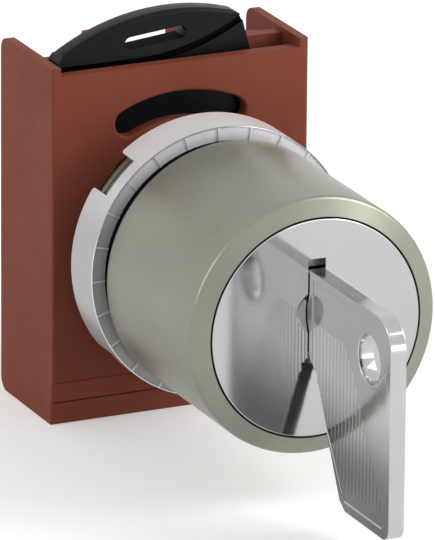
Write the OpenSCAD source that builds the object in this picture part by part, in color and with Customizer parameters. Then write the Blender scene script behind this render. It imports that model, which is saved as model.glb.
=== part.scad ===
// Key-operated switch head for a 22 mm panel hole, with its mounting flange and key.
// The origin is on the head's axis, at the front face of the panel. The head points to -Y,
// the flange lies behind the panel at +Y, and +Z is up.

/* [Head] */
// Radius of the round head
head_r = 14.05; // [13.8:0.05:15]
// Length of the head in front of the panel
head_length = 28.24; // [27:0.1:34]
// Radius of the head's rounded front edge
head_edge_r = 0.6; // [0.3:0.1:1]
// Width of the ring-shaped front face round the disc
head_rim = 2.005; // [1.8:0.005:2.6]
// Rise of the front face from its rounded edge to the disc
front_rise = 0.65; // [0.3:0.05:0.7]
// Height of the face disc above the front face beside it
disc_proud = 0.08; // [0.05:0.01:0.3]
// Thickness of the face disc
disc_t = 1.57; // [1.3:0.05:1.8]
// Open gap round the face disc
disc_gap = 0.2; // [0.15:0.01:0.3]
// Radius of the dimple in the face disc
dimple_r = 2.3; // [1.8:0.1:2.8]
// Depth of the dimple
dimple_depth = 0.65; // [0.4:0.05:0.8]
// Height of the dimple's centre above the axis
dimple_z = 1.75; // [1:0.05:2.5]

/* [Bezel ring] */
// Wall of the ring round the head
ring_wall = 0.95; // [0.8:0.05:1.2]
// Length of the ring's outer band
ring_length = 5.52; // [5:0.1:7]
// Length of the slanted front of the ring
ring_slant = 0.95; // [0.7:0.05:1.2]
// Number of ribs on the slanted front
ring_ribs = 24; // [12:4:36]
// Width of a rib
ring_rib_w = 0.3; // [0.25:0.05:0.5]
// Depth of the pockets between the ribs
ring_pocket = 0.22; // [0.15:0.01:0.3]
// Width of the rim that closes the pockets on the outside
ring_rim = 0.15; // [0.1:0.01:0.2]
// Depth of the four notches in the ring's skirt
notch_depth = 3.35; // [2.5:0.05:3.6]
// Half of the angle that a notch takes
notch_half = 9; // [7:0.5:14]
// Angle of the first notch, from the right side upwards
notch_turn = 47; // [40:1:50]

/* [Neck] */
// Radius of the neck, which passes the panel hole
neck_r = 11; // [10.8:0.05:11.1]
// Wall of the neck
neck_wall = 1.8; // [1.7:0.05:1.9]
// Thickest panel, the gap between the ring and the flange
panel_gap = 5.15; // [4.5:0.05:6.5]
// Depth of the groove behind which the lever's teeth catch
groove_depth = 0.7; // [0.6:0.05:0.8]
// Number of teeth on the neck and in the lever
teeth = 8; // [6:1:8]
// Half of the angle of a tooth
tooth_half = 6; // [4.5:0.5:6]

/* [Flange] */
// Width of the flange
flange_w = 30; // [30:0.5:36]
// Height of the side walls above the axis
flange_up = 20.2; // [20:0.1:22]
// Depth of the flange below the axis
flange_down = 19.8; // [19:0.1:22]
// Depth from the front plate's face to the rear edge
flange_depth = 13.85; // [13:0.1:18]
// Thickness of the front plate
plate_t = 1.5; // [1.2:0.1:2]
// Thickness of the side and bottom walls
wall_t = 1; // [0.9:0.1:1.1]
// Depth of the pocket in which the lever turns
pocket_depth = 2.95; // [2.8:0.05:3.6]
// Thickness of the cross wall behind the pocket
cross_t = 1.5; // [1.2:0.1:2]
// Distance of the plate's top edge below the side walls' top
plate_drop = 0.95; // [0.6:0.05:1.4]
// Radius of the rear corners of the side walls
corner_r = 1.5; // [1:0.1:2.5]
// Height of the upper step in the plate above the bottom edge
step_up_1 = 4.7; // [3.5:0.05:6]
// Height of the lower step in the plate above the bottom edge
step_up_2 = 2.45; // [1:0.05:3]
// Set-back of the plate at each step
step_back = 0.2; // [0.1:0.05:0.3]
// Middle radius of the arc slot in the plate
arc_r = 14.5; // [14.4:0.05:14.8]
// Width of the arc slot
arc_w = 3; // [2.4:0.1:3.2]
// Half of the angle between the arc slot's end centres
arc_half = 25; // [15:1:28]
// Chamfer round the arc slot
arc_edge = 0.3; // [0.2:0.05:0.4]
// Pitch of the three contact block bays
bay_pitch = 10; // [10:0.1:10.5]
// Thickness of the ribs between the bays
bay_rib = 1.3; // [1:0.1:1.4]

/* [Lever] */
// Turn that frees the head from the flange
lever_turn = 15; // [14.5:0.5:16]
// Height of the grip above the side walls
grip_rise = 4.45; // [3.5:0.05:6]
// Depth of the recess below the grip
grip_step = 0.7; // [0.4:0.1:1]
// Radius of the grip's two outer corners
grip_corner_r = 1.5; // [1:0.1:2]
// Rounding of the grip's long edges
grip_edge = 0.45; // [0.3:0.05:0.6]
// Length of the slot through the grip
grip_slot_length = 7.2; // [5:0.1:9]
// Width of the slot through the grip
grip_slot_w = 1.4; // [1:0.1:1.8]
// Radius of the curve under the grip's right half
crease_r = 24.7; // [22:0.1:30]

/* [Key] */
// Thickness of the key
key_t = 1.8; // [1.6:0.05:1.9]
// Distance of the bow's outer edge from the face disc
bow_reach = 19.53; // [18:0.1:26]
// Height of the bow's top edge above the axis
bow_top = 6.5; // [6.3:0.05:7.2]
// Depth of the bow's bottom edge below the axis
bow_bottom = 17.1; // [15:0.1:22]
// Radius of the hole for a key ring
hole_r = 2.6; // [2:0.1:3]
// Depth of the sunk panel on each face
panel_sink = 0.25; // [0.15:0.05:0.35]
// Number of fine ribs in the panel
key_ribs = 20; // [8:1:22]
// Length of the blade
blade_length = 24; // [23:0.1:24.5]
// Height of the blade's back above the axis
blade_top = 6.1; // [5.8:0.1:6.3]
// Depth of the blade's cut edge below the axis
blade_bottom = 2.6; // [2.2:0.1:2.8]
// Height of the keyway's top in the face disc above the axis
keyway_top = 7.6; // [7.2:0.1:8]
// Depth of the keyway's bottom in the face disc below the axis
keyway_bottom = 3.8; // [3.6:0.1:4.2]
// Play of the key in the keyway, on each side
key_play = 0.1; // [0.06:0.01:0.14]

/* [Lock] */
// Radius of the turning plug
plug_r = 8.2; // [8.1:0.05:8.5]
// Turn of the key
key_turn = 90; // [60:5:95]
// Radius of the plug's rear journal
journal_r = 5.6; // [5.3:0.05:5.7]
// Width of the plug's square tail
tail_w = 7; // [6.4:0.1:7.2]
// Thickness of a wafer
wafer_t = 1.2; // [1:0.05:1.3]
// Pitch of the wafers
wafer_pitch = 2.9; // [2.7:0.05:2.95]
// Depths of the six cuts in the blade, from the bow to the tip
cuts = [1.1, 0.5, 1.4, 0.8, 1.6, 0.6]; // [0.3:0.1:1.7]
// Radius of the detent ball
ball_r = 1; // [0.8:0.05:1.1]

/* [Plungers] */
// Distance of the push rods from the axis
plunger_x = 6.9; // [6.8:0.05:6.95]
// Travel of the push rods over the key's turn
plunger_travel = 2.4; // [2:0.1:2.6]
// Radius of a push rod's round front end
tip_r = 1.2; // [1:0.05:1.3]
// Radius of a push rod's stem
stem_r = 0.95; // [0.7:0.05:1]

/* [Hidden] */
$fn = 64;

// Clearances
slip = 0.05;             // between fixed turned pieces that slide together
running = 0.07;          // between a turning piece and its bore
loose = 0.3;             // round pieces that pass each other
face_play = 0.1;         // between flat faces that turn past each other
end_play = 0.02;         // at each end of a spring
over = 1;                // length by which a cutting shape passes a face
join = 0.2;              // depth by which two shapes of one piece run into each other
spring_turns = 5;        // turns of a coil spring

// Places along the head's axis, from the front to the rear
front_y = -head_length;
disc_y = front_y - front_rise - disc_proud;
disc_back_y = disc_y + disc_t;
plug_flange_t = 1.4;
plug_flange_y = disc_back_y + plug_flange_t;
barrel_y = plug_flange_y + face_play;
shoulder_t = 1.5;
gasket_t = 0.9;
shoulder_back_y = -0.7;
shoulder_y = shoulder_back_y - shoulder_t;
step_y = shoulder_y - 2;
nut_t = 1.8;
spigot_y = shoulder_back_y + nut_t + 0.5;
cam_y = spigot_y + 0.4;
cam_t = 3;
cam_back_y = cam_y + cam_t;
clip_t = 0.6;
clip_groove = 0.5;
clip_y = cam_back_y + face_play;
plate_y = panel_gap;
pocket_y = plate_y + plate_t;
cross_y = pocket_y + pocket_depth;
bay_y = cross_y + cross_t;
rear_y = plate_y + flange_depth;
seal_y = 1.2 - ring_length;

// Radii of the head's inside, from the disc inwards
opening_r = head_r - head_rim;
disc_r = opening_r - disc_gap;
barrel_r = opening_r - 0.2;
neck_bore_r = neck_r - neck_wall;
nut_r = neck_bore_r - 0.1;
spigot_r = nut_r - 1.3;
plug_rim = 2.075;
plug_flange_r = disc_r - plug_rim;
ring_in_r = head_r + slip;
ring_out_r = ring_in_r + ring_wall;
gasket_in_r = neck_r + slip;
gasket_w = 1.25;
gasket_out_r = gasket_in_r + gasket_w;
tail_r = 2.6;

// The flange's inside and the lever in its pocket
inner_top = flange_up - 0.45;
lever_front_y = pocket_y + 0.15;
lever_back_y = cross_y - 0.2;
lever_bore_r = neck_r + slip * 2;
pocket_half = flange_w / 2 - wall_t;
lever_out_r = pocket_half - loose;
lever_half = pocket_half - 0.25;
grip_r = flange_up + grip_rise;
crease_z = inner_top;
crease_x = -5;
web_y = lever_front_y + grip_step;
web_low_z = 4;
hub_r = arc_r + arc_w / 2 + 1;
lever_tooth_y = lever_front_y + 0.8;
lever_tooth_back_y = lever_back_y - 0.25;
groove_y = lever_tooth_y - 0.2;
tooth_y = lever_tooth_back_y + 0.2;
neck_end_y = bay_y + 0.1;
tooth_gap = 0.1;
neck_groove_r = neck_r - groove_depth;

// The key and its way into the plug
blade_end_y = disc_y + blade_length;
keyway_w = key_t + 2 * key_play;
keyway_low = -blade_bottom - 0.2;
keyway_high = blade_top + 0.2;
ward_depth = 0.45;
ward_w = 1;
ward_z = [3.4, 0.8];
bow_y = disc_y - bow_reach;
hole_in = 5.05;
hole_down = 5.2;
hole_at = [bow_y + hole_in, bow_top - hole_down];
foot_w = 10.4;
foot_y = bow_y + foot_w;

// Wafers, their slots and their springs
wafers = 6;
wafer_half = 3.8;
wafer_play = 0.1;
wafer_r = plug_r - 0.1;
window_half = keyway_w / 2 + 0.15;
spring_x = -wafer_half + 0.62;
spring_z = [-2.4, 1.6];
notch_x = -2.5;
spring_rib = 1;
notch_play = 0.2;
first_wafer_y = plug_flange_y + 2.4;
function wafer_y(i) = first_wafer_y + i * wafer_pitch;

// Detent
ball_y = step_y - ball_r - 0.8;
ball_at_r = plug_r + 0.45;
pocket_sink = 0.2;

// Rib on the barrel's spigot that keeps the barrel from turning
barrel_rib_half = 1;
barrel_rib_r = spigot_r + 0.6;

// Cam and push rods
cam_r = neck_bore_r - 0.6;
ramp_in_r = plunger_x - tip_r - 0.1;
ramp_out_r = cam_r - 0.2;
cam_hub_r = ramp_in_r - 0.2;
ramp_margin = 12;
rise_per_degree = plunger_travel / key_turn;
tip_slope = atan(plunger_travel / (key_turn * PI / 180 * plunger_x));
tip_y = cam_back_y + (tip_r + 0.12) / cos(tip_slope);
collar_r = tip_r + 0.45;
collar_y = tip_y;
collar_t = 0.8;
guide_y = cam_back_y + rise_per_degree * (key_turn + ramp_margin) + 0.25;
guide_flange_t = 0.95;
guide_back_y = neck_end_y + guide_flange_t;
tail_end_y = guide_back_y - 1.4;
spring_seat_y = guide_back_y - 0.8;
stem_end_y = guide_back_y + 1;
cap_room = 1.25;
snap_y = neck_end_y - 1.4;
snap_w = 0.5;
snap_r = neck_bore_r + 0.12;
well_r = collar_r + 0.2;

// Stop that limits the key's turn
tab_half = 9;
tab_r = [spigot_r - 1.6, spigot_r - 0.2];
tab_length = 1.1;
tab_angle = -90;

// Places a shape drawn in the (x, z) plane from y0 to y1
module along_y(y0, y1) {
    translate([0, y1, 0]) rotate([90, 0, 0]) linear_extrude(y1 - y0) children();
}

// Places a shape drawn in the (y, z) plane from x0 to x1
module along_x(x0, x1) {
    translate([x0, 0, 0]) rotate([90, 0, 90]) linear_extrude(x1 - x0) children();
}

// Turns a shape drawn in the (radius, y) plane round the head's axis
module turned() {
    rotate([-90, 0, 0]) rotate_extrude() children();
}

// The same over a sector, with angles counted from +X towards +Z
module turned_sector(from, to) {
    rotate([-90, 0, 0]) rotate([0, 0, -to]) rotate_extrude(angle = to - from) children();
}

// Rectangle in the (radius, y) plane
module band(r0, r1, y0, y1) {
    translate([r0, y0]) square([r1 - r0, y1 - y0]);
}

// Rectangle between two corners
module area(low, high) {
    translate(low) square(high - low);
}

// Rectangle between two corners with round corners
module round_area(low, high, r) {
    area([low[0] + r, low[1]], [high[0] - r, high[1]]);
    area([low[0], low[1] + r], [high[0], high[1] - r]);
    for (x = [low[0] + r, high[0] - r], y = [low[1] + r, high[1] - r])
        translate([x, y]) circle(r);
}

// Half plane that ends at a straight line, which lies at a distance from the origin
module half_plane(angle, distance) {
    reach = 80;
    rotate(angle) translate([distance - reach, -reach]) square([reach, 2 * reach]);
}

// Slot with round ends
module stadium(length, width) {
    area([-(length - width) / 2, -width / 2], [(length - width) / 2, width / 2]);
    for (side = [-1, 1])
        translate([side * (length - width) / 2, 0]) circle(d = width);
}

// Coil spring along +Z that stands on z = 0
module coil(r, wire_r, length, turns) {
    sides = 5;
    around = 10;
    rings = turns * around;
    rise = length - 2 * wire_r;
    points = [for (i = [0:rings], k = [0:sides - 1])
        let (turn = 360 * i / around, tilt = 360 * k / sides, reach = r + wire_r * cos(tilt))
        [reach * cos(turn), reach * sin(turn), wire_r + rise * i / rings + wire_r * sin(tilt)]];
    walls = [for (i = [0:rings - 1], k = [0:sides - 1])
        let (next = (k + 1) % sides, a = i * sides, b = a + sides)
        each [[b + k, b + next, a + next], [b + k, a + next, a + k]]];
    ends = [[for (k = [0:sides - 1]) k], [for (k = [sides - 1:-1:0]) rings * sides + k]];
    polyhedron(points, concat(walls, ends), convexity = 8);
}

// Arc slot through the front plate, with a chamfer round its front edge
module arc_slot() {
    reach = arc_w / 2;
    front = plate_y - over;
    profile = [[-reach, pocket_y + over], [-reach, plate_y + arc_edge],
        [-reach - arc_edge - over, front], [reach + arc_edge + over, front],
        [reach, plate_y + arc_edge], [reach, pocket_y + over]];
    turned_sector(90 - arc_half, 90 + arc_half) translate([arc_r, 0]) polygon(profile);
    for (angle = [90 - arc_half, 90 + arc_half])
        translate([arc_r * cos(angle), 0, arc_r * sin(angle)])
            turned() polygon([[0, front], [reach + arc_edge + over, front],
                [reach, plate_y + arc_edge], [reach, pocket_y + over], [0, pocket_y + over]]);
}

// Block of the flange with all its outer edges rounded
module flange_block() {
    side = flange_w / 2;
    front_edge = 0.4;
    intersection() {
        along_y(plate_y, rear_y) round_area([-side, -flange_down], [side, flange_up], front_edge);
        along_x(-side, side)
            round_area([plate_y - 2 * corner_r, -flange_down], [rear_y, flange_up], corner_r);
        linear_extrude(2 * (flange_up + flange_down), center = true)
            round_area([-side, plate_y], [side, rear_y + over], front_edge);
    }
}

// Filling of the pocket, which leaves room for the lever's ring and for its swing above
module pocket_filling() {
    ring_room = lever_out_r + loose;
    difference() {
        area([-pocket_half - join, -flange_down + wall_t - join], [pocket_half + join, 0]);
        circle(ring_room);
    }
}

// Flange: plate and walls, the cross wall behind the lever's pocket, and ribs between the bays
module flange_frame() {
    side = flange_w / 2;
    bottom = -flange_down + wall_t;
    high = flange_up + over;
    window_half = 2.5;
    hook_half = 2;
    hook_y = bay_y + 1.6;
    hook_z = inner_top - 0.35;
    hook_nose = 0.8;
    hook_foot = 2.8;
    window_y = [rear_y - 4, rear_y - 1.8];
    color([0.46, 0.25, 0.20]) difference() {
        union() {
            difference() {
                flange_block();
                along_y(plate_y - over, pocket_y + join)
                    area([-pocket_half, flange_up - plate_drop], [pocket_half, high]);
                along_y(pocket_y, rear_y + over) area([-pocket_half, bottom], [pocket_half, high]);
            }
            along_y(pocket_y - join, cross_y + join) pocket_filling();
            along_y(cross_y, bay_y)
                area([-pocket_half - join, bottom - join], [pocket_half + join, inner_top]);
            for (x = [-bay_pitch / 2, bay_pitch / 2])
                along_y(cross_y, rear_y)
                    area([x - bay_rib / 2, bottom - join], [x + bay_rib / 2, inner_top]);
            // Hooks on the cross wall that hold the contact blocks
            for (bay = [-1:1])
                along_x(bay * bay_pitch - hook_half, bay * bay_pitch + hook_half)
                    polygon([[bay_y - join, hook_z], [hook_y, hook_z],
                        [hook_y, hook_z - hook_nose], [bay_y - join, hook_z - hook_foot]]);
        }
        // Hole for the neck, with room for the cap on the neck's end
        along_y(plate_y - over, guide_back_y + cap_room) circle(neck_r + loose);
        arc_slot();
        // Two steps in the lower front
        along_y(plate_y - over, plate_y + step_back)
            area([-side - over, -flange_down - over], [side + over, -flange_down + step_up_1]);
        along_y(plate_y - over, plate_y + 2 * step_back)
            area([-side - over, -flange_down - over], [side + over, -flange_down + step_up_2]);
        // Windows in the bottom for the lower hooks of the contact blocks
        for (bay = [-1:1])
            along_y(window_y[0], window_y[1])
                area([bay * bay_pitch - window_half, -flange_down - over],
                    [bay * bay_pitch + window_half, bottom + over]);
    }
}

// Waste beside the rounded outer corner at the lever's left edge
module corner_waste() {
    centre_r = grip_r - grip_corner_r;
    centre_x = -lever_half + grip_corner_r;
    centre = [centre_x, sqrt(pow(centre_r, 2) - pow(centre_x, 2))];
    difference() {
        polygon([centre, [-lever_half - over, centre[1]], [-lever_half - over, grip_r],
            centre * (grip_r + over) / centre_r]);
        translate(centre) circle(grip_corner_r);
    }
}

// Outline of the lever between its left edge, its right edge and the grip's outer arc
module lever_blank() {
    difference() {
        intersection() {
            circle(grip_r);
            half_plane(180, lever_half);
            half_plane(lever_turn, lever_half);
            area([-grip_r, web_low_z], [grip_r, grip_r]);
        }
        corner_waste();
        rotate(lever_turn) mirror([1, 0]) corner_waste();
    }
}

// Outline of the raised grip, whose lower edge runs straight and then curves up to the right
module grip() {
    intersection() {
        lever_blank();
        union() {
            area([-grip_r, crease_z], [crease_x, grip_r]);
            translate([crease_x, crease_z + crease_r]) circle(crease_r);
        }
    }
}

// Lever: ring round the neck with teeth inside, hub, web and grip
module locking_lever() {
    slot_tilt = 6;
    slot_r = grip_r - 2.75;
    color([0.13, 0.13, 0.13]) {
        difference() {
            intersection() {
                union() {
                    along_y(lever_front_y, lever_back_y) {
                        circle(lever_out_r);
                        grip();
                        intersection() {
                            lever_blank();
                            circle(hub_r);
                        }
                    }
                    along_y(web_y, lever_back_y) lever_blank();
                }
                // Rounds the long edges of the grip
                turned() {
                    band(0, grip_r - grip_edge, lever_front_y, lever_back_y);
                    band(0, grip_r, lever_front_y + grip_edge, lever_back_y - grip_edge);
                    for (y = [lever_front_y + grip_edge, lever_back_y - grip_edge])
                        translate([grip_r - grip_edge, y]) circle(grip_edge);
                }
            }
            along_y(lever_front_y - over, lever_back_y + over) {
                circle(lever_bore_r);
                rotate(slot_tilt) translate([0, slot_r]) stadium(grip_slot_length, grip_slot_w);
            }
        }
        for (i = [0:teeth - 1])
            turned_sector(360 * i / teeth - tooth_half, 360 * i / teeth + tooth_half)
                band(neck_groove_r + tooth_gap, lever_bore_r + join, lever_tooth_y, lever_tooth_back_y);
    }
}

// Outline of a notch in the ring's skirt, which rounds the skirt's corners beside it
module notch(half) {
    skirt_r = 0.45;
    area([-notch_depth, -half], [over, half]);
    for (side = [0, 1])
        mirror([0, side]) difference() {
            area([-skirt_r, half - 0.1], [over, half + skirt_r]);
            translate([-skirt_r - 0.01, half + skirt_r]) circle(skirt_r);
        }
}

// Bezel ring with ribs on its slanted front and notches in its skirt
module bezel_ring() {
    lip_r = ring_in_r + 0.1;
    lip_y = 1 - ring_length;
    tip_y = -ring_length - ring_slant;
    inset = 0.02;
    lip_pocket = ring_pocket / 3;
    rim_r = ring_out_r - ring_rim;
    rim_y = -ring_length - ring_slant * ring_rim / (ring_out_r - lip_r);
    notch_w = 2 * ring_out_r * sin(notch_half);
    color([0.75, 0.74, 0.73]) difference() {
        union() {
            turned() polygon([[ring_in_r, 0], [ring_out_r, 0], [ring_out_r, -ring_length],
                [rim_r, rim_y], [rim_r, rim_y + ring_pocket], [lip_r, lip_pocket + tip_y],
                [lip_r, lip_y], [ring_in_r, lip_y]]);
            for (i = [0:ring_ribs - 1])
                rotate([0, -360 * (i + 0.1) / ring_ribs, 0]) linear_extrude(ring_rib_w, center = true)
                    polygon([[ring_out_r - inset, inset - ring_length], [lip_r + inset, inset + tip_y],
                        [lip_r + inset, lip_y - 0.5], [ring_out_r - inset, lip_y - 0.5]]);
        }
        for (i = [0:3])
            rotate([0, -notch_turn - 90 * i, 0])
                along_x(head_r - over, ring_out_r + over) notch(notch_w / 2);
    }
}

// Head shell: round head, inner shoulder, and the neck with its groove and teeth
module head_shell() {
    edge_centre = [head_r - head_edge_r, front_y + head_edge_r];
    to_centre = edge_centre - [opening_r, front_y - front_rise];
    slope = acos(head_edge_r / norm(to_centre)) - atan2(to_centre[0], to_centre[1]);
    slope_end = edge_centre + head_edge_r * [sin(slope), -cos(slope)];
    fine_groove = 0.15;
    fine_groove_y = [-0.9, -1.9];
    seal_groove = 0.8;
    seal_groove_half = 0.5;
    rib_half = 1.3;
    rib_proud = 1.2;
    rib_length = 1.2;
    snap_play = 0.1;
    color([0.62, 0.62, 0.56]) difference() {
        union() {
            turned() difference() {
                union() {
                    band(0, head_r, front_y, 0);
                    band(0, neck_r, 0, neck_end_y);
                    // Front face that rises towards the disc
                    polygon([[opening_r - over, front_y + over], [opening_r - over, front_y - front_rise],
                        [opening_r, front_y - front_rise], slope_end, [slope_end[0], front_y + over]]);
                }
                // Rounded front edge, which the front face runs into
                difference() {
                    band(slope_end[0], head_r + over, front_y - over, front_y + head_edge_r);
                    translate(edge_centre) circle(head_edge_r);
                }
                // Opening, barrel seat, shoulder and neck bore
                band(0, opening_r, disc_y - over, barrel_y);
                band(0, barrel_r + slip, front_y, shoulder_y);
                band(0, spigot_r + slip, shoulder_y - over, shoulder_back_y + over);
                band(0, neck_bore_r, shoulder_back_y, neck_end_y + over);
                band(0, snap_r + snap_play, snap_y - snap_play, snap_y + snap_w + snap_play);
                // Recess of the panel gasket, groove of the ring seal, and two fine grooves
                band(gasket_in_r - slip, gasket_out_r + slip, -gasket_t, over);
                band(head_r - seal_groove, head_r + over, seal_y - seal_groove_half,
                    seal_y + seal_groove_half);
                for (y = fine_groove_y)
                    band(head_r - fine_groove, head_r + over, y - fine_groove, y + fine_groove);
                // Groove and tooth zone of the neck
                band(neck_groove_r, neck_r + over, groove_y, neck_end_y + over);
            }
            for (i = [0:teeth - 1])
                turned_sector(360 * i / teeth - tooth_half, 360 * i / teeth + tooth_half)
                    band(neck_groove_r - join, neck_r, tooth_y, neck_end_y);
            // Rib that keeps the head from turning in the panel
            along_y(0, rib_length) area([-rib_half, neck_r - over], [rib_half, neck_r + rib_proud]);
        }
        // Keyway of the barrel's rib in the inner shoulder
        along_y(shoulder_y - over, shoulder_back_y + over)
            area([-barrel_rib_half - slip, -barrel_rib_r - slip], [barrel_rib_half + slip, -spigot_r + over]);
    }
}

// Face disc with the keyway and the round dimple
module face_disc() {
    dimple_ball = (pow(dimple_r, 2) + pow(dimple_depth, 2)) / (2 * dimple_depth);
    bevel = 0.12;
    color([0.80, 0.80, 0.81]) difference() {
        turned() polygon([[0, disc_y], [disc_r - bevel, disc_y], [disc_r, disc_y + bevel],
            [disc_r, disc_back_y], [0, disc_back_y]]);
        along_y(disc_y - over, disc_back_y + over)
            area([-keyway_w / 2, -keyway_bottom], [keyway_w / 2, keyway_top]);
        translate([0, disc_y + dimple_depth - dimple_ball, dimple_z]) sphere(dimple_ball);
    }
}

// Outline of the key's bow
module bow() {
    top_r = 3.2;
    foot_r = 1.5;
    stop_z = -3.4;
    polygon([[disc_y, bow_top], [bow_y + top_r, bow_top], [bow_y, bow_top - top_r],
        [bow_y, -bow_bottom + foot_r], [bow_y + foot_r, -bow_bottom], [foot_y, -bow_bottom],
        [foot_y + 1.3, -bow_bottom + 0.9], [disc_y - 1.7, stop_z - 0.8],
        [disc_y - 0.5, stop_z], [disc_y, stop_z]]);
    translate([bow_y + top_r, bow_top - top_r]) circle(top_r);
    translate([bow_y + foot_r, -bow_bottom + foot_r]) circle(foot_r);
}

// Outline of the panel that is sunk into each face of the bow
module bow_panel() {
    rim = 0.95;
    raised_r = hole_r + 0.3;
    difference() {
        polygon([[disc_y - 0.75, bow_top - rim], [bow_y + rim, bow_top - rim],
            [bow_y + rim, -bow_bottom + 1.8], [bow_y + 1.8, -bow_bottom + rim],
            [foot_y + 0.4, -bow_bottom + rim], [foot_y + 0.9, -bow_bottom + 1.7],
            [disc_y - 0.75, -4]]);
        // The bow stays thick round the ring hole and from there to its rounded corner
        translate(hole_at) {
            circle(raised_r);
            rotate(45) area([-raised_r, 0], [raised_r, 2 * raised_r]);
        }
    }
}

// Outline of the field of fine ribs, whose upper ends step down towards the bow's outer edge
module rib_field() {
    high = 1.1;
    low = -bow_bottom + 2.5;
    start_y = disc_y - 1;
    step_y = hole_at[0] + hole_r + 3.5;
    stub_y = hole_at[0] + hole_r + 1.4;
    stub_z = -1.4;
    polygon([[start_y, high], [step_y, high], [stub_y, stub_z],
        [bow_y + 1.9, low], [foot_y + 2, low], [start_y, -5]]);
}

// Outline of a cut in the blade's lower edge
module blade_cut(depth) {
    flat = 0.55;
    wide = flat + 0.55 * (depth + over);
    polygon([[-wide, -over], [-flat, depth], [flat, depth], [wide, -over]]);
}

// Key: bow with a ring hole, sunk panels with fine ribs, and the cut blade
module key() {
    half = key_t / 2;
    rib_half = half - panel_sink / 3;
    rib_w = 0.3;
    first_rib_y = disc_y - 1.3;
    last_rib_y = bow_y + 2.55;
    rib_pitch = (first_rib_y - last_rib_y) / (key_ribs - 1);
    color([0.72, 0.72, 0.70]) difference() {
        union() {
            difference() {
                along_x(-half, half) bow();
                for (side = [0, 1])
                    mirror([side, 0, 0]) along_x(half - panel_sink, half + over) bow_panel();
            }
            along_x(-rib_half, rib_half) intersection() {
                bow_panel();
                rib_field();
                for (i = [0:key_ribs - 1])
                    translate([first_rib_y - i * rib_pitch, 0])
                        area([-rib_w / 2, -bow_bottom], [rib_w / 2, bow_top]);
            }
            // Blade with a slanted tip
            along_x(-half, half) polygon([[disc_y - over, blade_top], [blade_end_y - 1.5, blade_top],
                [blade_end_y, blade_top - 2.4], [blade_end_y, -blade_bottom + 3.6],
                [blade_end_y - 2.6, -blade_bottom], [disc_y - over, -blade_bottom]]);
        }
        along_x(-half - over, half + over) {
            translate(hole_at) circle(hole_r);
            for (i = [0:wafers - 1])
                translate([wafer_y(i), -blade_bottom]) blade_cut(cuts[i]);
        }
        // Side grooves that pass the wards in the keyway
        for (side = [0, 1])
            along_y(disc_y, blade_end_y + over)
                area([side ? half - ward_depth : -half - over, ward_z[side] - ward_w / 2],
                    [side ? half + over : -half + ward_depth, ward_z[side] + ward_w / 2]);
    }
}

// Flat gasket in the recess at the back of the head
module panel_gasket() {
    color([0.10, 0.10, 0.10]) turned() band(gasket_in_r, gasket_out_r, -gasket_t + 0.02, 0);
}

// O-ring between the head and the bezel ring
module ring_seal() {
    seal_r = 0.38;
    color([0.08, 0.08, 0.08]) turned()
        translate([ring_in_r - seal_r - 0.01, seal_y]) circle(seal_r);
}

// Lip seal behind the rim of the face disc
module disc_seal() {
    lip_r = opening_r - 0.7;
    lip_half = 0.3;
    lip_depth = 0.8;
    color([0.12, 0.12, 0.12]) turned() difference() {
        band(plug_flange_r + loose, opening_r - slip, disc_back_y + 0.15, barrel_y);
        polygon([[lip_r - lip_half, disc_back_y], [lip_r + lip_half, disc_back_y],
            [lip_r, disc_back_y + lip_depth]]);
    }
}

// Barrel in which the plug turns, with the stop tab at its rear
module lock_barrel() {
    groove_half = wafer_half + 0.2;
    groove_deep = 1.2;
    color([0.70, 0.63, 0.42]) difference() {
        union() {
            turned() difference() {
                union() {
                    band(0, barrel_r, barrel_y, shoulder_y);
                    band(0, spigot_r, shoulder_y - over, spigot_y);
                }
                band(0, plug_r + running, barrel_y - over, step_y + face_play);
                band(0, journal_r + running, step_y, spigot_y + over);
            }
            turned_sector(tab_angle - tab_half, tab_angle + tab_half)
                band(tab_r[0], tab_r[1], spigot_y - 0.5, spigot_y + tab_length);
            along_y(shoulder_y - over, shoulder_back_y)
                area([-barrel_rib_half, -barrel_rib_r], [barrel_rib_half, -spigot_r + over]);
        }
        // Two grooves that take the wafers when the key is out
        along_y(barrel_y + over, wafer_y(wafers - 1) + wafer_t)
            area([-groove_half, -plug_r - groove_deep], [groove_half, plug_r + groove_deep]);
        // Hole for the detent
        translate([0, ball_y, 0]) rotate([0, -90, 0]) cylinder(h = barrel_r + over, r = ball_r + running);
    }
}

// Ring nut that pulls the barrel against the shoulder, with four spanner slots
module barrel_nut() {
    slot = 0.8;
    nut_back_y = shoulder_back_y + nut_t;
    color([0.72, 0.72, 0.70]) difference() {
        turned() band(spigot_r + slip, nut_r, shoulder_back_y, nut_back_y);
        for (i = [0:3])
            rotate([0, 45 + 90 * i, 0]) along_x(nut_r - slot, nut_r + over)
                area([nut_back_y - slot, -slot], [nut_back_y + over, slot]);
    }
}

// Outline of the slot that holds a wafer, with the rib that carries its spring
module wafer_slot() {
    half = wafer_half + wafer_play;
    difference() {
        area([-half, -plug_r - over], [half, plug_r + over]);
        area([-half - over, spring_z[0] - spring_rib], [notch_x - notch_play, spring_z[0]]);
    }
}

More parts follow.
